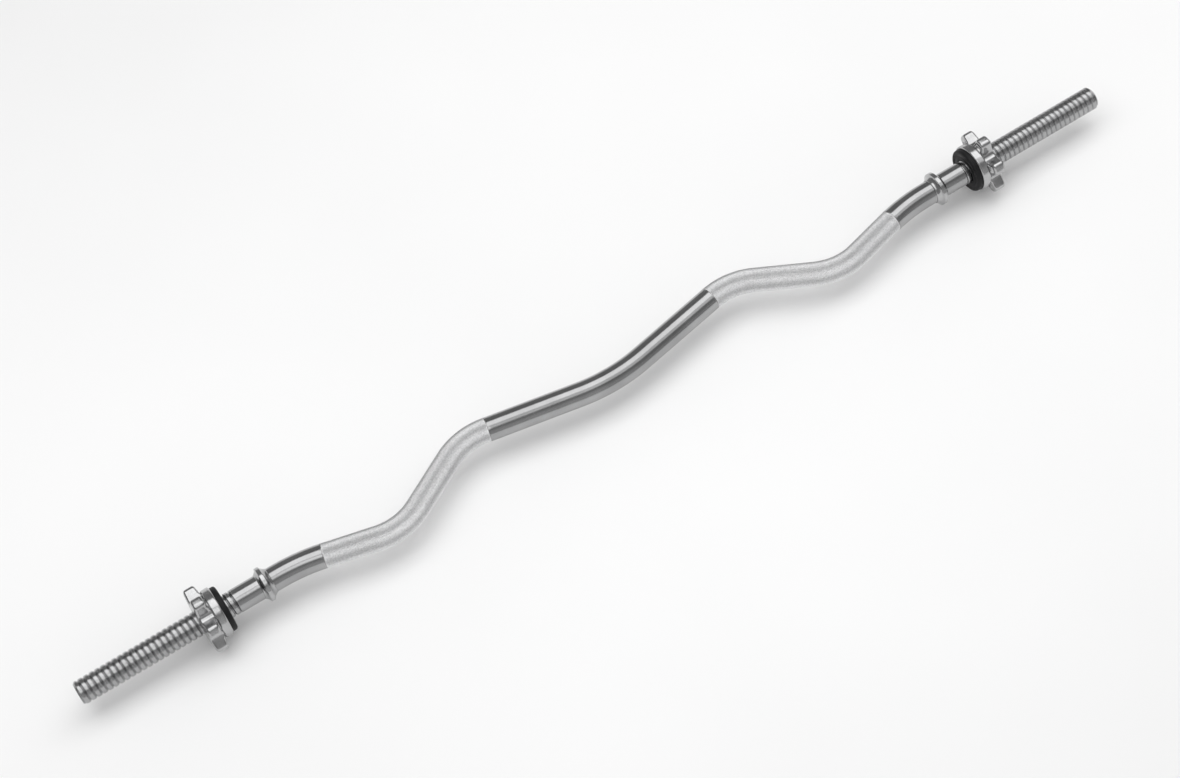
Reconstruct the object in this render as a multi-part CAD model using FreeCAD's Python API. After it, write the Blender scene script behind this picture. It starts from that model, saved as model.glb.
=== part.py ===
import FreeCAD, Part
import math
import os

# EZ curl bar in mm. X runs along the bar, the bends lie in the XY plane, Z is up.
# Z = 0 is the floor that the star nuts stand on.
V = FreeCAD.Vector

# bent bar
bar_length = 1200.0
bar_diameter = 25.0
corner_inner_x = 160.0      # where the lines of the centre span and the narrow grip meet
corner_outer_x = 258.0      # narrow grip and wide grip
corner_sleeve_x = 359.5     # wide grip and sleeve
wide_grip_angle = 15.0      # degrees to the sleeve axis
narrow_grip_angle = 30.0
centre_angle = 11.5
bend_radius_centre = 186.0
bend_radius_inner = 67.0
bend_radius_outer = 65.0
bend_radius_sleeve = 190.0
end_chamfer = 2.0

# inner collar, swaged into a shallow groove of the bar
collar_inboard_x = 391.0
collar_outboard_x = 404.0
collar_rim_from_x = 396.0
collar_rim_to_x = 400.5
collar_diameter = 36.0
collar_foot_height = 0.45
collar_seat_depth = 0.3

# thread on both ends, right-handed
thread_from_x = 429.0
thread_pitch = 6.0
thread_crest_radius = 12.3
thread_depth = 1.3
thread_root_width = 0.8
thread_groove_width = 2.6
thread_clearance = 0.45

# star nut
nut_disc_radius = 25.7
nut_disc_thickness = 9.5
nut_star_thickness = 15.0
lug_count = 6
lug_tip_radius = 34.0
lug_tip_width = 11.6
lug_base_width = 19.6
lug_base_radius = 14.0
lug_face_draft = 1.3        # how far each face of a lug leans in at the tip
valley_fillet = 6.0
lug_corner_fillet = 3.0
disc_edge_fillet = 2.2
left_nut_x = 446.0          # inboard face of the disc, from the middle of the bar
right_nut_x = 441.0
lug_phase = 0.0             # degrees; both nuts stand on one lug

# rubber ring in the nut's counterbore
rubber_radius = 23.7
rubber_bore_radius = 13.0
rubber_proud = 5.5
rubber_seat_depth = 3.0
rubber_gap = 0.3
rubber_edge = 2.6

bar_radius = bar_diameter / 2
half_length = bar_length / 2
thread_root_radius = thread_crest_radius - thread_depth
axis_z = lug_tip_radius
collar_middle_x = (collar_inboard_x + collar_outboard_x) / 2

outer_y = -(corner_sleeve_x - corner_outer_x) * math.tan(math.radians(wide_grip_angle))
inner_y = outer_y + (corner_outer_x - corner_inner_x) * math.tan(math.radians(narrow_grip_angle))
centre_y = inner_y - corner_inner_x * math.tan(math.radians(centre_angle))


def turned(points):
    """A solid of revolution about Z from (radius, height) points and arcs given as three points."""
    edges = []
    last = points[0]
    for step in points[1:] + [points[0]]:
        if len(step) == 4:
            mid = V(step[0], 0, step[1])
            end = V(step[2], 0, step[3])
            edges.append(Part.Arc(V(last[0], 0, last[1]), mid, end).toShape())
            last = (step[2], step[3])
        else:
            edges.append(Part.makeLine(V(last[0], 0, last[1]), V(step[0], 0, step[1])))
            last = step
    face = Part.Face(Part.Wire(edges))
    return face.revolve(V(0, 0, 0), V(0, 0, 1), 360)


def helix_tool(start, turns, profile):
    """A profile of (radius, height) points swept along the thread's helix from height start."""
    path = Part.makeLongHelix(thread_pitch, thread_pitch * turns, thread_crest_radius, 0)
    points = [V(r, 0, z) for r, z in profile]
    section = Part.makePolygon(points + [points[0]])
    tool = Part.Wire(path.Edges).makePipeShell([section], True, True)
    tool.translate(V(0, 0, start))
    return tool


def outboard(shape, side):
    """Turn a shape built along Z so that Z points outboard on that side, and lift it to the sleeve axis."""
    placed = shape.copy()
    placed.rotate(V(0, 0, 0), V(0, 1, 0), 90 * side)
    placed.translate(V(0, sleeve_y, axis_z))
    return placed


def corner_list():
    half = [
        (corner_inner_x, inner_y, bend_radius_inner),
        (corner_outer_x, outer_y, bend_radius_outer),
        (corner_sleeve_x, 0.0, bend_radius_sleeve),
    ]
    left = [(-x, y, r) for x, y, r in reversed(half)]
    return left + [(0.0, centre_y, bend_radius_centre)] + half


def bends():
    """Each bend's two tangent points, its arc centre, its radius and its turn in degrees."""
    corners = corner_list()
    line = [V(-half_length, 0, 0)] + [V(x, y, 0) for x, y, r in corners] + [V(half_length, 0, 0)]
    found = []
    for n, (x, y, radius) in enumerate(corners):
        here = line[n + 1]
        back = (line[n] - here).normalize()
        ahead = (line[n + 2] - here).normalize()
        half_turn = (math.pi - back.getAngle(ahead)) / 2
        reach = radius * math.tan(half_turn)
        towards = (back + ahead).normalize()
        centre = here + towards * (radius / math.cos(half_turn))
        turn = math.degrees(2 * half_turn) * (1 if back.cross(ahead).z < 0 else -1)
        found.append((here + back * reach, here + ahead * reach, centre, radius, turn))
    return found


bend_list = bends()
sleeve_from_x = bend_list[-1][1].x
# the box around the bar is centred in Y, so the sleeve axis sits a little off Y = 0
inner_bend = bend_list[4]
outer_bend = bend_list[5]
far_y = inner_bend[2].y + inner_bend[3] + bar_radius
near_y = outer_bend[2].y - outer_bend[3] - bar_radius
sleeve_y = -(far_y + near_y) / 2


def tangent_at(n):
    start, end, centre, radius, turn = bend_list[n]
    spoke = start - centre
    along = V(0, 0, 1).cross(spoke) * (1 if turn > 0 else -1)
    return along.normalize()


def bent_middle():
    """The round bar between the two sleeves: straight runs joined by bends."""
    runs = []
    for n, (start, end, centre, radius, turn) in enumerate(bend_list):
        section = Part.Face(Part.Wire(Part.makeCircle(bar_radius, start, tangent_at(n))))
        runs.append(section.revolve(centre, V(0, 0, 1), turn))
        if n + 1 < len(bend_list):
            ahead = bend_list[n + 1][0] - end
            runs.append(Part.makeCylinder(bar_radius, ahead.Length, end, ahead))
    return runs


def seat_stub():
    """The straight end of the grip bar along Z, up to the middle of the inner collar's seat."""
    seat = bar_radius - collar_seat_depth
    return turned([
        (0, sleeve_from_x),
        (bar_radius, sleeve_from_x),
        (bar_radius, collar_inboard_x),
        (seat, collar_inboard_x),
        (seat, collar_middle_x),
        (0, collar_middle_x),
    ])


def end_blank():
    """One straight end of the bar along Z: the other half of the seat, plain shank, thread blank."""
    seat = bar_radius - collar_seat_depth
    step = bar_radius - thread_crest_radius
    return turned([
        (0, collar_middle_x),
        (seat, collar_middle_x),
        (seat, collar_outboard_x),
        (bar_radius, collar_outboard_x),
        (bar_radius, thread_from_x),
        (thread_crest_radius, thread_from_x + step),
        (thread_crest_radius, half_length - end_chamfer),
        (thread_crest_radius - end_chamfer, half_length),
        (0, half_length),
    ])


def groove_half(radius):
    """Half the width of the bar's thread groove at a radius."""
    rise = (thread_groove_width - thread_root_width) / 2 / thread_depth
    return thread_root_width / 2 + (radius - thread_root_radius) * rise


def threaded_end():
    over = thread_crest_radius + 1.0
    first = thread_from_x + thread_pitch / 2
    turns = math.ceil((half_length - first) / thread_pitch) + 1
    groove = helix_tool(first, turns, [
        (thread_root_radius, -groove_half(thread_root_radius)),
        (over, -groove_half(over)),
        (over, groove_half(over)),
        (thread_root_radius, groove_half(thread_root_radius)),
    ])
    return end_blank().cut(groove)


def grip_bar():
    """The bent rod from collar to collar. It meets the threaded ends inside the collars."""
    runs = bent_middle()
    for run in runs:
        run.translate(V(0, sleeve_y, axis_z))
    runs = runs + [outboard(seat_stub(), -1), outboard(seat_stub(), 1)]
    return runs[0].multiFuse(runs[1:]).removeSplitter()


def inner_collar():
    """A ring with a flat rim and hollow flanks, filling the bar's groove."""
    seat = bar_radius - collar_seat_depth
    foot = bar_radius + collar_foot_height
    rim = collar_diameter / 2
    hollow = 0.5
    waist = (foot + rim) / 2 - hollow
    inboard_flank = (collar_inboard_x + collar_rim_from_x) / 2
    outboard_flank = (collar_outboard_x + collar_rim_to_x) / 2
    return turned([
        (seat, collar_inboard_x),
        (foot, collar_inboard_x),
        (waist, inboard_flank + hollow, rim, collar_rim_from_x),
        (rim, collar_rim_to_x),
        (waist, outboard_flank - hollow, foot, collar_outboard_x),
        (seat, collar_outboard_x),
    ])


def star_prism(phase):
    """The lugs' outline as a prism, with rounded valleys and tip corners."""
    taper = (lug_base_width - lug_tip_width) / 2 / (lug_tip_radius - lug_base_radius)
    pitch = math.pi / lug_count
    valley = (lug_base_width / 2 + taper * lug_base_radius) / (math.sin(pitch) + taper * math.cos(pitch))
    tip_reach = math.hypot(lug_tip_radius, lug_tip_width / 2)
    tip_half = math.atan2(lug_tip_width / 2, lug_tip_radius)
    points = []
    for n in range(lug_count):
        middle = math.radians(phase) + 2 * pitch * n
        corners = [
            (tip_reach, middle - tip_half),
            (tip_reach, middle + tip_half),
            (valley, middle + pitch),
        ]
        for reach, angle in corners:
            points.append(V(reach * math.cos(angle), reach * math.sin(angle), nut_disc_thickness))
    outline = Part.Face(Part.makePolygon(points + [points[0]]))
    prism = outline.extrude(V(0, 0, nut_star_thickness))
    upright = [e for e in prism.Edges if abs(e.tangentAt(e.FirstParameter).z) > 0.99]
    valleys = [e for e in upright if math.hypot(e.Vertexes[0].X, e.Vertexes[0].Y) < (valley + tip_reach) / 2]
    prism = prism.makeFillet(valley_fillet, valleys)
    upright = [e for e in prism.Edges if e.Length > nut_star_thickness - 0.01]
    tips = [e for e in upright if math.hypot(e.Vertexes[0].X, e.Vertexes[0].Y) > tip_reach - 0.5]
    return prism.makeFillet(lug_corner_fillet, tips)


def nut_envelope():
    """Revolved limits of the star: flat at the hub, leaning in towards the tips, with a rounded edge."""
    low = nut_disc_thickness
    high = low + nut_star_thickness
    knee = lug_base_radius + 5
    edge = 2.2
    outer = lug_tip_radius + 1.0
    return turned([
        (0, low),
        (knee, low),
        (outer - edge, low + lug_face_draft),
        (outer - 0.3 * edge, low + lug_face_draft + 0.3 * edge, outer, low + lug_face_draft + edge),
        (outer, high - lug_face_draft - edge),
        (outer - 0.3 * edge, high - lug_face_draft - 0.3 * edge, outer - edge, high - lug_face_draft),
        (knee, high),
        (0, high),
    ])


def nut_disc():
    edge = disc_edge_fillet
    bulge = edge * (1 - math.sqrt(0.5))
    rim = nut_disc_radius
    top = nut_disc_thickness
    return turned([
        (0, 0),
        (rim - edge, 0),
        (rim - bulge, bulge, rim, edge),
        (rim, top - edge),
        (rim - bulge, top - bulge, rim - edge, top),
        (0, top),
    ])


def star_nut(rest_x, phase):
    """A nut along Z with its disc's inboard face at rest_x and its thread in step with the bar's."""
    body = star_prism(phase).common(nut_envelope()).fuse(nut_disc())
    height = nut_disc_thickness + nut_star_thickness
    minor = thread_root_radius + thread_clearance
    major = thread_crest_radius + thread_clearance + 0.1
    mouth = 1.2
    body = body.cut(turned([
        (0, -1),
        (rubber_radius + rubber_gap, -1),
        (rubber_radius + rubber_gap, rubber_seat_depth),
        (major + mouth, rubber_seat_depth),
        (minor, rubber_seat_depth + major + mouth - minor),
        (minor, height - (major + mouth - minor)),
        (major + mouth, height),
        (major + mouth, height + 1),
        (0, height + 1),
    ]))
    lean = math.hypot(1, groove_half(1) - groove_half(0))
    slack = thread_clearance * lean
    inside = minor - 0.8
    # the bar's crest lies half a pitch from its groove
    phase_start = thread_from_x + thread_pitch
    first = phase_start + thread_pitch * math.floor((rest_x - phase_start) / thread_pitch) - rest_x
    turns = math.ceil((height - first) / thread_pitch) + 1
    half_pitch = thread_pitch / 2
    crest = helix_tool(first, turns, [
        (inside, -(half_pitch - groove_half(inside) + slack)),
        (major, -(half_pitch - groove_half(major) + slack)),
        (major, half_pitch - groove_half(major) + slack),
        (inside, half_pitch - groove_half(inside) + slack),
    ])
    body = body.cut(crest)
    body.translate(V(0, 0, rest_x))
    return body


def rubber_ring(rest_x):
    low = rest_x - rubber_proud
    high = rest_x + rubber_seat_depth - rubber_gap
    edge = rubber_edge
    bulge = edge * (1 - math.sqrt(0.5))
    return turned([
        (rubber_bore_radius, low + 1),
        (rubber_bore_radius + 1, low),
        (rubber_radius - edge, low),
        (rubber_radius - bulge, low + bulge, rubber_radius, low + edge),
        (rubber_radius, high),
        (rubber_bore_radius, high),
    ])


pieces = {
    "grip_bar": grip_bar(),
    "left_threaded_end": outboard(threaded_end(), -1),
    "right_threaded_end": outboard(threaded_end(), 1),
    "left_inner_collar": outboard(inner_collar(), -1),
    "right_inner_collar": outboard(inner_collar(), 1),
    "left_star_nut": outboard(star_nut(left_nut_x, lug_phase), -1),
    "right_star_nut": outboard(star_nut(right_nut_x, lug_phase), 1),
    "left_rubber_ring": outboard(rubber_ring(left_nut_x), -1),
    "right_rubber_ring": outboard(rubber_ring(right_nut_x), 1),
}

os.makedirs("parts", exist_ok=True)
for name, shape in pieces.items():
    solid = shape.Solids[0]
    box = solid.BoundBox
    print(name, len(shape.Solids), solid.isValid(), round(solid.Volume / 1000, 2), "cm3",
          [round(v, 2) for v in (box.XMin, box.XMax, box.YMin, box.YMax, box.ZMin, box.ZMax)])
    solid.exportStep("parts/" + name + ".step")
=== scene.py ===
import math
import bmesh
import bpy
from mathutils import Matrix, Vector


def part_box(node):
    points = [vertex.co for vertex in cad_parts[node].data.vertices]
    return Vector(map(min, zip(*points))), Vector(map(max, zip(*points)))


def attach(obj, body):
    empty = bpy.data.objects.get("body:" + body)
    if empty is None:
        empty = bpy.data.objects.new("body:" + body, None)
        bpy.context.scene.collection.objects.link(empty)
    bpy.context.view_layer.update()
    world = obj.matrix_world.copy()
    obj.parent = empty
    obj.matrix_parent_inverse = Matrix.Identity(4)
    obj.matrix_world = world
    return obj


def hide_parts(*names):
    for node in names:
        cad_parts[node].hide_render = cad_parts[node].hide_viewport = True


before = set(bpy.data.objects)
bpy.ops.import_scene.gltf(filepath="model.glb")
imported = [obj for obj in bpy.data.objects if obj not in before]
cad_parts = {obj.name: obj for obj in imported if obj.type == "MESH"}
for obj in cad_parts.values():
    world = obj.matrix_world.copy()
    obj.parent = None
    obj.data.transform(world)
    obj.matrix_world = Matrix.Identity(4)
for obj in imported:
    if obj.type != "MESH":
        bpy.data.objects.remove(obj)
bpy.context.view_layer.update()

mm = 0.001
fullTurn = 2 * math.pi
bothSides = (-1, 1)        # left and right of the middle of the bar

# both sleeves lie on one axis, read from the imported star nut
nutLow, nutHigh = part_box("right_star_nut")
sleeveY = (nutLow[1] + nutHigh[1]) / 2
sleeveZ = (nutLow[2] + nutHigh[2]) / 2
print("frame loaded, sleeve axis at y", round(sleeveY, 5), "z", round(sleeveZ, 5))


def clamp(value):
    return max(0.0, min(1.0, value))


def ease(value):
    value = clamp(value)
    return value * value * (3 - 2 * value)


def sideName(side):
    return "left" if side < 0 else "right"


def onSleeve(side, along, radius, angle):
    # along is in mm out from the middle of the bar
    return (side * along * mm,
            sleeveY + radius * math.sin(angle) * mm,
            sleeveZ - side * radius * math.cos(angle) * mm)


def tubeFaces(rows, columns, ring=False):
    # quads between rows of points that go once round; ring joins the last row to the first
    faces = []
    for row in range(rows if ring else rows - 1):
        low = row * columns
        high = (row + 1) % rows * columns
        for column in range(columns):
            after = (column + 1) % columns
            faces.append((low + column, low + after, high + after, high + column))
    return faces


def endFaces(rows, columns):
    # the flat faces that close a tube's first and last row
    return [tuple(range(columns)), tuple(range((rows - 1) * columns, rows * columns))]


def makePiece(name, node, body, points, faces, materials, materialOf=None, depth=None):
    # quads are shaded smooth; facets and end faces stay flat
    mesh = bpy.data.meshes.new(name)
    mesh.from_pydata(points, [], faces)
    for material in materials:
        mesh.materials.append(material)
    if materialOf:
        mesh.polygons.foreach_set("material_index", materialOf)
    mesh.polygons.foreach_set("use_smooth", [len(face) == 4 for face in faces])
    if depth:
        mesh.attributes.new("depth", "FLOAT", "POINT").data.foreach_set("value", depth)
    shell = bmesh.new()
    shell.from_mesh(mesh)
    bmesh.ops.recalc_face_normals(shell, faces=shell.faces)
    shell.to_mesh(mesh)
    shell.free()
    piece = bpy.data.objects.new(name, mesh)
    bpy.context.scene.collection.objects.link(piece)
    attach(piece, body)
    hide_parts(node)
    print(name, len(points), "points")


def arcPoints(centre, radius, fromDegrees, toDegrees, steps):
    # (along, radius) points of a rounded edge in a turned profile
    points = []
    for step in range(steps + 1):
        turn = math.radians(fromDegrees + (toDegrees - fromDegrees) * step / steps)
        points.append((centre[0] + radius * math.cos(turn), centre[1] + radius * math.sin(turn)))
    return points


def makeTurnedRing(name, node, body, side, profile, columns, material):
    # a closed profile of (along, radius) points, turned about the sleeve axis
    points = []
    for along, radius in profile:
        for column in range(columns):
            points.append(onSleeve(side, along, radius, fullTurn * column / columns))
    faces = tubeFaces(len(profile), columns, ring=True)
    makePiece(name, node, body, points, faces, [material])


# noise seldom leaves these values, so colours and roughness are spread between them
noiseLow, noiseHigh = 0.3, 0.7


def startMaterial(name):
    material = bpy.data.materials.new(name)
    material.use_nodes = True
    tree = material.node_tree
    shader = tree.nodes["Principled BSDF"]
    coords = tree.nodes.new("ShaderNodeTexCoord")
    return material, tree, shader, coords


def noiseNode(tree, coords, scale, detail, stretch=(1, 1, 1)):
    mapping = tree.nodes.new("ShaderNodeMapping")
    mapping.inputs["Scale"].default_value = stretch
    noise = tree.nodes.new("ShaderNodeTexNoise")
    noise.inputs["Scale"].default_value = scale
    noise.inputs["Detail"].default_value = detail
    tree.links.new(coords.outputs["Object"], mapping.inputs["Vector"])
    tree.links.new(mapping.outputs["Vector"], noise.inputs["Vector"])
    return noise.outputs["Fac"]


def rampNode(tree, source, stops):
    ramp = tree.nodes.new("ShaderNodeValToRGB")
    while len(ramp.color_ramp.elements) < len(stops):
        ramp.color_ramp.elements.new(0.5)
    for element, (place, colour) in zip(ramp.color_ramp.elements, stops):
        element.position = place
        element.color = (*colour, 1)
    tree.links.new(source, ramp.inputs["Fac"])
    return ramp.outputs["Color"]


def rangeNode(tree, source, low, high):
    spread = tree.nodes.new("ShaderNodeMapRange")
    spread.inputs["From Min"].default_value = noiseLow
    spread.inputs["From Max"].default_value = noiseHigh
    spread.inputs["To Min"].default_value = low
    spread.inputs["To Max"].default_value = high
    tree.links.new(source, spread.inputs["Value"])
    return spread.outputs["Result"]


def bumpNode(tree, source, strength, distance, below=None):
    bump = tree.nodes.new("ShaderNodeBump")
    bump.inputs["Strength"].default_value = strength
    bump.inputs["Distance"].default_value = distance
    tree.links.new(source, bump.inputs["Height"])
    if below:
        tree.links.new(below, bump.inputs["Normal"])
    return bump.outputs["Normal"]


def multiplyNode(tree, first, second):
    mix = tree.nodes.new("ShaderNodeMix")
    mix.data_type = "RGBA"
    mix.blend_type = "MULTIPLY"
    mix.inputs["Factor"].default_value = 1
    tree.links.new(first, mix.inputs["A"])
    tree.links.new(second, mix.inputs["B"])
    return mix.outputs["Result"]


def steelGrey(level):
    # chrome is a touch bluer than plain grey
    return (level, level + 0.001, level + 0.004)


polishedLook = {
    "dark": steelGrey(0.34), "light": steelGrey(0.41),
    "cloudScale": 34, "waveStrength": 0.4, "waveHeight": 0.0002,
    "markScale": 60, "markStretch": (26, 1, 1),       # grinding lines run round the bar
    "markStrength": 0.06, "markHeight": 0.00006, "roughness": (0.12, 0.22),
}
knurledLook = {
    "dark": steelGrey(0.71), "light": steelGrey(0.98),
    "cloudScale": 700, "waveStrength": 0.3, "waveHeight": 0.0002,    # worn and dull peaks, side by side
    "markScale": 900, "markStretch": (1, 1, 1),
    "markStrength": 0.15, "markHeight": 0.0001, "roughness": (0.38, 0.52),
    # painted shade and dirt: darker in the knurl valleys
    "shadeAndDirt": (0.78, 0.78, 0.785), "shadeAndDirtFrom": 0.15,
}
threadedLook = {
    "dark": steelGrey(0.36), "light": steelGrey(0.43),
    "cloudScale": 50, "waveStrength": 0.15, "waveHeight": 0.0002,
    "markScale": 160, "markStretch": (8, 1, 1),
    "markStrength": 0.08, "markHeight": 0.00008, "roughness": (0.16, 0.3),
    # painted shade and dirt: darker in the thread grooves
    "shadeAndDirt": (0.68, 0.68, 0.685), "shadeAndDirtFrom": 0.15,
}
castLook = {
    "dark": steelGrey(0.42), "light": steelGrey(0.5),
    "cloudScale": 120, "waveStrength": 0.35, "waveHeight": 0.0004,
    "markScale": 700, "markStretch": (1, 1, 1),
    "markStrength": 0.05, "markHeight": 0.00008, "roughness": (0.12, 0.26),
}


def chromeMaterial(name, look):
    material, tree, shader, coords = startMaterial(name)
    cloud = noiseNode(tree, coords, look["cloudScale"], detail=3)
    marks = noiseNode(tree, coords, look["markScale"], detail=5, stretch=look["markStretch"])
    colour = rampNode(tree, cloud, [(noiseLow, look["dark"]), (noiseHigh, look["light"])])
    if "shadeAndDirt" in look:
        # the mesh says how deep each point lies, from 0 to 1; deep points are darkened, painted shade and
        # dirt in the knurl valleys and thread grooves
        depth = tree.nodes.new("ShaderNodeAttribute")
        depth.attribute_name = "depth"
        undarkened = (1, 1, 1)
        shade = rampNode(tree, depth.outputs["Fac"], [(look["shadeAndDirtFrom"], undarkened), (1, look["shadeAndDirt"])])
        colour = multiplyNode(tree, colour, shade)
    tree.links.new(colour, shader.inputs["Base Color"])
    shader.inputs["Metallic"].default_value = 1
    tree.links.new(rangeNode(tree, marks, *look["roughness"]), shader.inputs["Roughness"])
    normal = bumpNode(tree, cloud, look["waveStrength"], look["waveHeight"])
    normal = bumpNode(tree, marks, look["markStrength"], look["markHeight"], normal)
    tree.links.new(normal, shader.inputs["Normal"])
    return material


rubberLook = {
    "dark": (0.006, 0.006, 0.0065), "light": (0.015, 0.015, 0.016), "lightFrom": 0.72,
    "cloudScale": 90, "roughness": (0.42, 0.6), "specular": 0.2,
    "grainScale": 1600, "grainStrength": 0.35, "grainHeight": 0.00012,
}


def rubberMaterial(name, look):
    material, tree, shader, coords = startMaterial(name)
    cloud = noiseNode(tree, coords, look["cloudScale"], detail=4)
    grain = noiseNode(tree, coords, look["grainScale"], detail=3)
    colour = rampNode(tree, cloud, [(noiseLow, look["dark"]), (look["lightFrom"], look["light"])])
    tree.links.new(colour, shader.inputs["Base Color"])
    tree.links.new(rangeNode(tree, cloud, *look["roughness"]), shader.inputs["Roughness"])
    shader.inputs["Specular IOR Level"].default_value = look["specular"]
    normal = bumpNode(tree, grain, look["grainStrength"], look["grainHeight"])
    tree.links.new(normal, shader.inputs["Normal"])
    return material


polished = chromeMaterial("polishedChrome", polishedLook)
knurled = chromeMaterial("knurledChrome", knurledLook)
threaded = chromeMaterial("threadedChrome", threadedLook)
cast = chromeMaterial("castChrome", castLook)
rubber = rubberMaterial("mouldedRubber", rubberLook)
print("materials made")


# the bent bar between the two inner collars, in mm
bar = {
    "radius": 12.5, "seamX": 397.5,
    # corners of the centre line from the middle outwards, as x and bend radius
    "corners": [(0, 186), (160, 67), (258, 65), (359.5, 190)],
    "centreAngle": 11.5, "narrowAngle": 30, "wideAngle": 15,
    "columns": 96, "smoothStep": 3.0,
    "knurlFrom": 132.0, "knurlTo": 336.8,     # along X, on both halves
    "knurlStep": 1.05, "knurlDepth": 0.34,
    "knurlRunOut": 2.6, "knurlLead": 0.4,     # the first row is as deep as this far into the run-out
    "satinFrom": 0.8,                         # share of the full depth where the satin finish starts
}


def barCorners():
    middleX, innerX, outerX, sleeveX = [x for x, bend in bar["corners"]]
    outerY = -(sleeveX - outerX) * math.tan(math.radians(bar["wideAngle"]))
    innerY = outerY + (outerX - innerX) * math.tan(math.radians(bar["narrowAngle"]))
    middleY = innerY - innerX * math.tan(math.radians(bar["centreAngle"]))
    half = [(innerX, innerY), (outerX, outerY), (sleeveX, 0)]
    bends = [bend for x, bend in bar["corners"]]
    right = [(Vector(place), bend) for place, bend in zip(half, bends[1:])]
    left = [(Vector((-place.x, place.y)), bend) for place, bend in reversed(right)]
    return left + [(Vector((middleX, middleY)), bends[0])] + right


def barRuns():
    # straight runs and bends one after another: length, start, heading, turn per mm
    corners = barCorners()
    first, last = Vector((-bar["seamX"], 0)), Vector((bar["seamX"], 0))
    stops = [first] + [place for place, bend in corners] + [last]
    runs = []
    at = first
    for n, (corner, bend) in enumerate(corners):
        before = corner - stops[n]
        after = stops[n + 2] - corner
        heading = math.atan2(before.y, before.x)
        turn = math.atan2(after.y, after.x) - heading
        reach = bend * math.tan(abs(turn) / 2)
        start = corner - before.normalized() * reach
        runs.append(((start - at).length, at, heading, 0.0))
        runs.append((bend * abs(turn), start, heading, math.copysign(1 / bend, turn)))
        at = corner + after.normalized() * reach
    runs.append(((last - at).length, at, 0.0, 0.0))
    return runs


def pointOnBar(runs, travel):
    n = 0
    while n < len(runs) - 1 and travel > runs[n][0]:
        travel -= runs[n][0]
        n += 1
    start, heading, turn = runs[n][1:]
    facing = heading + turn * travel
    if turn:
        x = start.x + (math.sin(facing) - math.sin(heading)) / turn
        y = start.y - (math.cos(facing) - math.cos(heading)) / turn
    else:
        x = start.x + travel * math.cos(heading)
        y = start.y + travel * math.sin(heading)
    return x, y, facing


def travelToX(runs, wantedX, total):
    low, high = 0.0, total
    halvings = 50        # far below a micron
    for step in range(halvings):
        middle = (low + high) / 2
        if pointOnBar(runs, middle)[0] < wantedX:
            low = middle
        else:
            high = middle
    return (low + high) / 2


def barRows(runs):
    # rows of points: travel along the bar, and how deep the row is knurled, from 0 to 1
    total = sum(run[0] for run in runs)
    knurlEnds = (-bar["knurlTo"], -bar["knurlFrom"], bar["knurlFrom"], bar["knurlTo"])
    edges = [0.0] + [travelToX(runs, x, total) for x in knurlEnds] + [total]
    rows = []
    for zone, (start, end) in enumerate(zip(edges, edges[1:])):
        isKnurl = zone % 2 == 1        # smooth and knurled zones take turns
        length = end - start
        count = round(length / bar["knurlStep" if isKnurl else "smoothStep"])
        for step in range(count):
            along = length * step / count
            fromEnd = min(along, length - along)
            fade = ease((fromEnd + bar["knurlLead"]) / bar["knurlRunOut"]) if isKnurl else 0.0
            rows.append((start + along, fade))
    return rows + [(total, 0.0)]


def buildGripBar():
    runs = barRuns()
    rows = barRows(runs)
    columns = bar["columns"]
    points, depth = [], []
    for row, (travel, fade) in enumerate(rows):
        x, y, facing = pointOnBar(runs, travel)
        for column in range(columns):
            sunk = fade if (row + column) % 2 == 0 else 0.0
            radius = bar["radius"] - bar["knurlDepth"] * sunk
            angle = fullTurn * column / columns
            across = radius * math.cos(angle)
            points.append(((x - across * math.sin(facing)) * mm,
                           sleeveY + (y + across * math.cos(facing)) * mm,
                           sleeveZ + radius * math.sin(angle) * mm))
            depth.append(sunk)
    faces, materialOf = [], []
    for n, (a, b, c, d) in enumerate(tubeFaces(len(rows), columns)):
        row, column = divmod(n, columns)
        fade = max(rows[row][1], rows[row + 1][1])
        if not fade:
            faces.append((a, b, c, d))
            materialOf.append(0)
            continue
        # each cell is split along its valley, so every peak stands as a small pyramid
        faces += [(a, b, c), (a, c, d)] if (row + column) % 2 == 0 else [(a, b, d), (b, c, d)]
        materialOf += [1, 1] if fade > bar["satinFrom"] else [0, 0]
    faces += endFaces(len(rows), columns)
    materialOf += [0, 0]
    finishes = [polished, knurled]
    makePiece("gripBar", "grip_bar", "bar", points, faces, finishes, materialOf, depth)


buildGripBar()


# sleeve ends with their rolled thread, in mm
thread = {
    "fromX": 429.0, "toX": 600.0, "pitch": 6.0, "crest": 12.3, "root": 11.0,
    "grooveX": 432.0,                           # a groove passes here at angle zero
    "rootHalf": 0.46, "flank": 0.76,            # half the groove's floor, and the width of a flank
    "narrowing": 3.0,                           # the shank narrows to the crest over this length
    "runOutFrom": 0.5, "runOut": 2.0, "chamfer": 2.0,
    "faceRadii": [9.9, 9.6, 5.0, 1.6], "faceInset": 0.12,     # the sawn end lies just below its rim
    "shankRows": 12, "columns": 96, "step": 0.4,
}


def threadWave(along, angle, centreX):
    # distance in mm from the nearest turn whose centre passes centreX at angle zero
    turns = (along - centreX) / thread["pitch"] - angle / fullTurn
    return abs(turns - round(turns)) * thread["pitch"]


def barThreadRadius(along, angle):
    # radius, and how deep the point lies in the groove, from 0 to 1
    past = along - thread["fromX"]
    rise = ease((threadWave(along, angle, thread["grooveX"]) - thread["rootHalf"]) / thread["flank"])
    sunk = ease((past - thread["runOutFrom"]) / thread["runOut"]) * (1 - rise)
    blank = bar["radius"] + (thread["crest"] - bar["radius"]) * ease(past / thread["narrowing"])
    chamfered = thread["crest"] - (along - thread["toX"] + thread["chamfer"])
    return min(blank - sunk * (thread["crest"] - thread["root"]), chamfered), sunk


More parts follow.
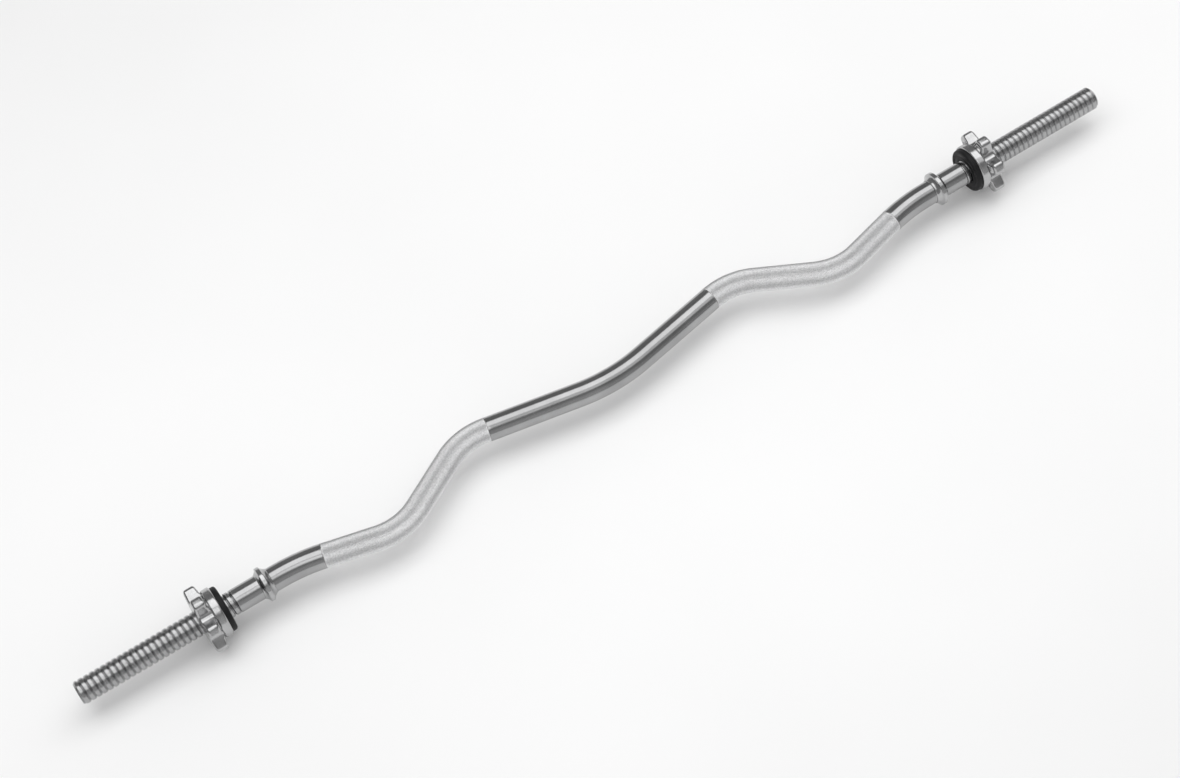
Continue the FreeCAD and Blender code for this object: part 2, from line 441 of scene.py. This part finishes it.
def buildThreadedEnd(side):
    columns = thread["columns"]
    angles = [fullTurn * column / columns for column in range(columns)]
    shank = thread["fromX"] - bar["seamX"]
    length = thread["toX"] - thread["fromX"]
    count = round(length / thread["step"])
    alongs = [bar["seamX"] + shank * n / thread["shankRows"] for n in range(thread["shankRows"])]
    alongs += [thread["fromX"] + length * n / count for n in range(count + 1)]
    points, depth = [], []
    for along in alongs:
        for angle in angles:
            radius, sunk = barThreadRadius(along, angle)
            points.append(onSleeve(side, along, radius, angle))
            depth.append(sunk)
    for n, radius in enumerate(thread["faceRadii"]):
        inset = thread["faceInset"] if n else 0.0
        for angle in angles:
            points.append(onSleeve(side, thread["toX"] - inset, radius, angle))
            depth.append(0.0)
    rows = len(alongs) + len(thread["faceRadii"])
    threadPoints = range(thread["shankRows"] * columns, (len(alongs) - 1) * columns)
    faces = tubeFaces(rows, columns) + endFaces(rows, columns)
    materialOf = [1 if len(face) == 4 and face[0] in threadPoints else 0 for face in faces]
    name, node = sideName(side) + "ThreadedEnd", sideName(side) + "_threaded_end"
    makePiece(name, node, "bar", points, faces, [polished, threaded], materialOf, depth)


for side in bothSides:
    buildThreadedEnd(side)


# swaged inner collars, in mm
collar = {
    "inboard": 391.0, "outboard": 404.0, "rimFrom": 396.0, "rimTo": 400.5,
    "seat": 12.2, "foot": 12.95, "footStep": 0.12, "hollow": 0.35,
    "rim": 18.0, "rimEdge": 0.7, "rimHold": 0.3,        # flat kept beside each rounded edge
    "flankSteps": 7, "edgeSteps": 5, "columns": 96,
}


def flankPoints(footX, rimX, inward):
    # a hollow flank from the foot up to where the rim's rounded edge starts
    height = collar["rim"] - collar["rimEdge"] - collar["foot"]
    points = []
    for step in range(collar["flankSteps"] + 1):
        part = step / collar["flankSteps"]
        sag = collar["hollow"] * 4 * part * (1 - part)
        along = footX + (rimX - footX) * part + sag * inward
        points.append((along, collar["foot"] + height * part - sag))
    return points


def buildCollar(side):
    inboard, outboard = collar["inboard"], collar["outboard"]
    low, high = collar["rimFrom"], collar["rimTo"]
    rim, edge, steps = collar["rim"], collar["rimEdge"], collar["edgeSteps"]
    flat = edge + collar["rimHold"]
    heel = collar["foot"] - collar["footStep"]
    profile = [(inboard, collar["seat"]), (inboard, heel)]
    profile += flankPoints(inboard, low, 1)
    profile += arcPoints((low + edge, rim - edge), edge, 180, 90, steps)[1:]
    profile += [(low + flat, rim), (high - flat, rim)]
    profile += arcPoints((high - edge, rim - edge), edge, 90, 0, steps)[:-1]
    profile += reversed(flankPoints(outboard, high, -1))
    profile += [(outboard, heel), (outboard, collar["seat"])]
    name, node = sideName(side) + "InnerCollar", sideName(side) + "_inner_collar"
    makeTurnedRing(name, node, "bar", side, profile, collar["columns"], cast)


for side in bothSides:
    buildCollar(side)


# six-lug star nuts, each cast in one piece with its disc, in mm
nut = {
    "leftX": 446.0, "rightX": 441.0,          # inboard face of the disc at rest
    "disc": 25.7, "discThickness": 9.5, "discEdge": 2.2, "discHold": 0.4, "discStep": 0.06,
    "counterbore": 24.0, "counterboreDepth": 3.0, "counterboreCorner": 0.6,
    "lip": 0.5, "lipAngle": 166,              # where the counterbore's wall meets the disc's rounded edge
    "starThickness": 15.0, "lugs": 6, "phase": 0,        # one lug down
    "tip": 34.0, "tipWidth": 11.6, "baseWidth": 19.6, "baseAt": 14.0,
    "tipFillet": 4.5, "valleyFillet": 6.0, "flankStep": 1.6,
    "draft": 1.3, "draftFrom": 19.0, "draftTo": 33.0,    # the lugs' faces lean in between these radii
    "edge": 2.8, "underHold": 0.6, "topHold": 0.5,
    "flareTo": 23.1, "clearOver": 4.3, "leastClear": 0.12,
    "hub": 16.6, "mouth": 14.2, "mouthEdge": [(0.0, 0.9), (0.1, 0.4), (0.4, 0.0)],
    "minor": 11.45, "major": 12.85, "grooveHalf": 2.84, "flank": 0.97,
    "boreFrom": 0.8, "boreTo": 0.4, "boreRows": 56,
    "cornerSteps": 8, "discSteps": 7, "edgeSteps": 5,
}


def starOutline():
    # points round the star, each with the direction that faces out of the nut
    taper = (nut["baseWidth"] - nut["tipWidth"]) / 2 / (nut["tip"] - nut["baseAt"])
    half = math.pi / nut["lugs"]
    valley = (nut["baseWidth"] / 2 + taper * nut["baseAt"]) / (math.sin(half) + taper * math.cos(half))
    reach = math.hypot(nut["tip"], nut["tipWidth"] / 2)
    spread = math.atan2(nut["tipWidth"] / 2, nut["tip"])
    corners = []
    for lug in range(nut["lugs"]):
        middle = math.radians(nut["phase"]) + 2 * half * lug
        for distance, angle, fillet in ((reach, middle - spread, nut["tipFillet"]),
                                        (reach, middle + spread, nut["tipFillet"]),
                                        (valley, middle + half, nut["valleyFillet"])):
            corners.append((Vector((math.cos(angle), math.sin(angle))) * distance, fillet))
    arcs = []
    for n, (corner, fillet) in enumerate(corners):
        back = (corners[n - 1][0] - corner).normalized()
        ahead = (corners[(n + 1) % len(corners)][0] - corner).normalized()
        turned = math.pi - back.angle(ahead)
        towards = (back + ahead).normalized()
        centre = corner + towards * (fillet / math.cos(turned / 2))
        # a tip's centre lies inside the nut, a valley's outside
        outward = -1 if towards.dot(corner) < 0 else 1
        arc = []
        for step in range(nut["cornerSteps"] + 1):
            swing = turned * (step / nut["cornerSteps"] - 0.5) * -outward
            spoke = Matrix.Rotation(swing, 2) @ -towards
            arc.append((centre + spoke * fillet, spoke * -outward))
        arcs.append(arc)
    outline = []
    for arc, following in zip(arcs, arcs[1:] + arcs[:1]):
        (start, out), end = arc[-1], following[0][0]
        count = int((end - start).length / nut["flankStep"])
        outline += arc
        outline += [(start.lerp(end, n / (count + 1)), out) for n in range(1, count + 1)]
    return outline


def nutLoops(outline):
    # loops of (place, along) from the counterbore over the disc and the lugs to the outboard mouth
    edge, rim, discEdge = nut["edge"], nut["disc"], nut["discEdge"]
    wall, corner = nut["counterbore"], nut["counterboreCorner"]
    floor = nut["counterboreDepth"]
    low = nut["discThickness"]
    high = low + nut["starThickness"]

    def lean(radius):
        return nut["draft"] * clamp((radius - nut["draftFrom"]) / (nut["draftTo"] - nut["draftFrom"]))

    def circle(along, radius):
        return [(p.normalized() * radius, along) for p, out in outline]

    def topLoop(inset, rise):
        return [(p - out * inset, high - lean(p.length) - rise) for p, out in outline]

    def underLoop(inset, rise):
        # rounded underneath where a lug stands clear of the disc, flared into the disc elsewhere
        least = nut["leastClear"]
        loop = []
        for p, out in outline:
            past = p.length - nut["flareTo"]
            if past > 0:
                clear = least + (1 - least) * ease(past / nut["clearOver"])
                lift = (lean(p.length) + rise) * clear
            else:
                clear = -least
                lift = rise * least
            loop.append((p - out * inset * clear, low + lift))
        return loop

    disc = [(floor, nut["mouth"]), (floor, wall - corner), (floor - corner, wall), (nut["lip"], wall)]
    disc += arcPoints((discEdge, rim - discEdge), discEdge, nut["lipAngle"], 90, nut["discSteps"])
    disc += [(discEdge + nut["discHold"], rim), (low - discEdge - nut["discHold"], rim)]
    disc += arcPoints((low - discEdge, rim - discEdge), discEdge, 90, 0, nut["discSteps"])
    disc += [(low, rim - discEdge - nut["discStep"])]
    turns = [math.pi / 2 * n / nut["edgeSteps"] for n in range(nut["edgeSteps"] + 1)]
    curve = [(edge * (1 - math.sin(turn)), edge * (1 - math.cos(turn))) for turn in turns]
    loops = [circle(along, radius) for along, radius in disc]
    loops += [underLoop(edge + nut["underHold"], 0)]
    loops += [underLoop(inset, rise) for inset, rise in curve]
    loops += [topLoop(inset, rise) for inset, rise in reversed(curve)]
    loops += [topLoop(edge + nut["topHold"], 0), circle(high, nut["hub"])]
    loops += [circle(high - drop, nut["mouth"] + wider) for drop, wider in nut["mouthEdge"]]
    return loops


def nutThreadRadius(along, angle):
    offset = threadWave(along, angle, thread["grooveX"] + thread["pitch"] / 2)
    sunk = clamp((nut["grooveHalf"] - offset) / nut["flank"])
    return nut["minor"] + (nut["major"] - nut["minor"]) * sunk


def buildNut(side):
    restX = nut[sideName(side) + "X"]
    outline = starOutline()
    loops = nutLoops(outline)
    points = []
    for loop in loops:
        for place, along in loop:
            points.append(onSleeve(side, restX + along, place.length, math.atan2(place.y, place.x)))
    # the threaded bore, from the outboard mouth back to the counterbore, with a cone at either end
    floor = nut["counterboreDepth"]
    height = nut["discThickness"] + nut["starThickness"]
    first, last = height - nut["boreFrom"], floor + nut["boreTo"]
    for row in range(nut["boreRows"]):
        along = first + (last - first) * row / (nut["boreRows"] - 1)
        cone = nut["mouth"] - min(along - floor, height - along)
        for p, out in outline:
            angle = math.atan2(p.y, p.x)
            radius = max(cone, nutThreadRadius(restX + along, angle))
            points.append(onSleeve(side, restX + along, radius, angle))
    faces = tubeFaces(len(loops) + nut["boreRows"], len(outline), ring=True)
    name, node = sideName(side) + "StarNut", sideName(side) + "_star_nut"
    makePiece(name, node, sideName(side) + "_nut", points, faces, [cast])


for side in bothSides:
    buildNut(side)


# rubber rings seated in the nuts' counterbores, in mm
ring = {
    "radius": 23.7, "bore": 12.65, "proud": 5.5, "seat": 2.7, "columns": 128,
    "edge": 2.6, "edgeSteps": 8, "edgeHold": 0.4,
    "boreEdge": 0.5, "boreSteps": 4, "boreHold": 0.3, "backEdge": 0.5,
    "grooveFrom": 17.0, "grooveTo": 18.3, "grooveDepth": 0.25, "grooveWall": 0.3,   # moulded in the face
    "seamAt": 1.4, "seamHalf": 0.3, "seamDepth": 0.12,        # fine moulding line round the outside
}


def buildRing(side):
    restX = nut[sideName(side) + "X"]
    low, high = restX - ring["proud"], restX + ring["seat"]
    radius, bore = ring["radius"], ring["bore"]
    edge, boreEdge, backEdge = ring["edge"], ring["boreEdge"], ring["backEdge"]
    sunk, wall = low + ring["grooveDepth"], ring["grooveWall"]
    seam = low + edge + ring["seamAt"]
    profile = arcPoints((low + boreEdge, bore + boreEdge), boreEdge, 270, 180, ring["boreSteps"])
    profile += [(low, bore + boreEdge + ring["boreHold"]), (low, ring["grooveFrom"])]
    profile += [(sunk, ring["grooveFrom"] + wall), (sunk, ring["grooveTo"] - wall)]
    profile += [(low, ring["grooveTo"]), (low, radius - edge - ring["edgeHold"])]
    profile += arcPoints((low + edge, radius - edge), edge, 180, 90, ring["edgeSteps"])
    profile += [(seam - ring["seamHalf"], radius), (seam, radius - ring["seamDepth"])]
    profile += [(seam + ring["seamHalf"], radius), (high - backEdge, radius)]
    profile += [(high, radius - backEdge), (high, bore + backEdge), (high - backEdge, bore)]
    name, node = sideName(side) + "RubberRing", sideName(side) + "_rubber_ring"
    body = sideName(side) + "_ring"
    makeTurnedRing(name, node, body, side, profile, ring["columns"], rubber)


for side in bothSides:
    buildRing(side)


# floor, in metres
stage = {
    "floorSize": 40.0, "colour": (0.86, 0.86, 0.86), "paler": (0.9, 0.9, 0.9),
    "cloudScale": 1.5, "roughness": 0.9, "specular": 0.1,
}


def buildFloor():
    half = stage["floorSize"] / 2
    corners = [(-half, -half, 0), (half, -half, 0), (half, half, 0), (-half, half, 0)]
    mesh = bpy.data.meshes.new("floor")
    mesh.from_pydata(corners, [], [(0, 1, 2, 3)])
    floor = bpy.data.objects.new("floor", mesh)
    bpy.context.scene.collection.objects.link(floor)
    material, tree, shader, coords = startMaterial("paleFloor")
    cloud = noiseNode(tree, coords, stage["cloudScale"], detail=3)
    colour = rampNode(tree, cloud, [(noiseLow, stage["colour"]), (noiseHigh, stage["paler"])])
    tree.links.new(colour, shader.inputs["Base Color"])
    shader.inputs["Roughness"].default_value = stage["roughness"]
    shader.inputs["Specular IOR Level"].default_value = stage["specular"]
    mesh.materials.append(material)


buildFloor()
print("floor laid")


# lamps: a long softbox over the bar, weaker ones in front and at the left, and a soft fill
light = {
    "boxAt": (0.5, 0.4, 1.8), "boxLength": 4.2, "boxWidth": 1.35, "boxPower": 28.0,
    "frontAt": (0.5, -0.72, 1.8), "frontLength": 4.2, "frontWidth": 0.85, "frontPower": 8.0,
    "sideAt": (-0.9, -0.95, 1.75), "sideLength": 1.3, "sideWidth": 1.0, "sidePower": 3.0,
    "fillAt": (0, 0, 3), "fillStrength": 0.88, "fillSpread": 160,
    # grey of the room from the front (-Y) to the back
    "room": [(0.0, 0.52), (0.05, 0.46), (0.15, 0.26), (0.5, 0.22), (0.85, 0.22), (1.0, 0.3)],
}


def addLamp(name, kind, place):
    # every lamp shines straight down
    lamp = bpy.data.lights.new(name, kind)
    holder = bpy.data.objects.new(name, lamp)
    bpy.context.scene.collection.objects.link(holder)
    holder.location = place
    return lamp, holder


def buildLamps():
    for key in ("box", "front", "side"):
        lamp, holder = addLamp(key + "Lamp", "AREA", light[key + "At"])
        lamp.shape = "RECTANGLE"
        lamp.size = light[key + "Length"]
        lamp.size_y = light[key + "Width"]
        lamp.energy = light[key + "Power"]
        holder.visible_camera = False
    fill, holder = addLamp("fillLamp", "SUN", light["fillAt"])
    fill.energy = light["fillStrength"]
    fill.angle = math.radians(light["fillSpread"])
    holder.visible_glossy = False


def buildWorld():
    world = bpy.data.worlds.new("studio")
    bpy.context.scene.world = world
    world.use_nodes = True
    tree = world.node_tree
    coords = tree.nodes.new("ShaderNodeTexCoord")
    split = tree.nodes.new("ShaderNodeSeparateXYZ")
    tree.links.new(coords.outputs["Generated"], split.inputs["Vector"])
    spread = tree.nodes.new("ShaderNodeMapRange")
    spread.inputs["From Min"].default_value = -1        # straight to the front
    spread.inputs["From Max"].default_value = 1         # straight to the back
    tree.links.new(split.outputs["Y"], spread.inputs["Value"])
    stops = [(place, (grey, grey, grey)) for place, grey in light["room"]]
    colour = rampNode(tree, spread.outputs["Result"], stops)
    tree.links.new(colour, tree.nodes["Background"].inputs["Color"])
    tree.nodes["Background"].inputs["Strength"].default_value = 1


buildLamps()
buildWorld()
print("lights placed")


# camera at the photograph's angle, in degrees, metres and mm of lens
view = {
    "azimuth": -22.52, "elevation": 55.19, "roll": -11.68, "distance": 2.3839,
    "lookOff": (0.0226, 0.0097),           # picture centre to mid-bar, along the picture's right and up
    "lens": 72.99, "sensor": 36,
}


def buildCamera():
    turn, rise, roll = (math.radians(view[key]) for key in ("azimuth", "elevation", "roll"))
    back = Vector((math.sin(turn) * math.cos(rise), -math.cos(turn) * math.cos(rise), math.sin(rise)))
    level = (-back).cross(Vector((0, 0, 1))).normalized()
    upright = level.cross(-back)
    right = level * math.cos(roll) + upright * math.sin(roll)
    up = upright * math.cos(roll) - level * math.sin(roll)
    place = back * view["distance"] - right * view["lookOff"][0] - up * view["lookOff"][1]
    place += Vector((0, sleeveY, sleeveZ))
    camera = bpy.data.cameras.new("camera")
    camera.lens = view["lens"]
    camera.sensor_width = view["sensor"]
    camera.sensor_fit = "HORIZONTAL"
    holder = bpy.data.objects.new("camera", camera)
    bpy.context.scene.collection.objects.link(holder)
    holder.matrix_world = Matrix((
        (right.x, up.x, back.x, place.x),
        (right.y, up.y, back.y, place.y),
        (right.z, up.z, back.z, place.z),
        (0, 0, 0, 1)))
    bpy.context.scene.camera = holder


buildCamera()
bpy.context.scene.view_settings.view_transform = "Standard"
print("camera set")
